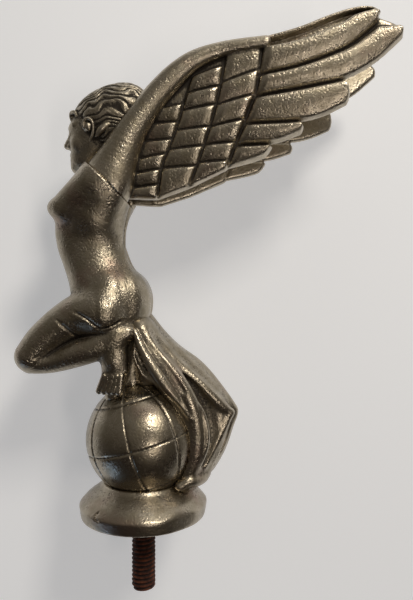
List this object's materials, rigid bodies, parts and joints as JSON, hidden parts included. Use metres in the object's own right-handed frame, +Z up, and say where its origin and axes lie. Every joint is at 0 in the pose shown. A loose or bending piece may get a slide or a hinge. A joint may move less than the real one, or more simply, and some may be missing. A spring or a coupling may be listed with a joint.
{
  "type": "hood ornament",
  "caption": "Cast nickel-finish car mascot: a winged figure kneels on an engraved globe, on a round plinth with a threaded steel stud.",
  "frame": {"origin": "centre of the plinth's seating face, on the stud's axis", "axes": "+Z up along the stud's axis; the figure faces -Y and the wings sweep back along +Y; +X is the figure's left"},
  "size_m": [0.0424, 0.1222, 0.1878],
  "materials": {
    "cast_nickel": "worn nickel plate over cast brass, with dark patina in the recesses",
    "rusty_steel": "rusty threaded steel",
    "dowel_brass": "drawn brass rod"
  },
  "bodies": {
    "root": {"base": "cast_nickel", "globe": "cast_nickel", "figure": "cast_nickel", "head": "cast_nickel", "left_wing": "cast_nickel", "right_wing": "cast_nickel", "drapery": "cast_nickel", "stud": "rusty_steel", "shoulder_dowels": "dowel_brass", "neck_dowel": "dowel_brass", "foot_pins": "dowel_brass"}
  },
  "joints": []
}
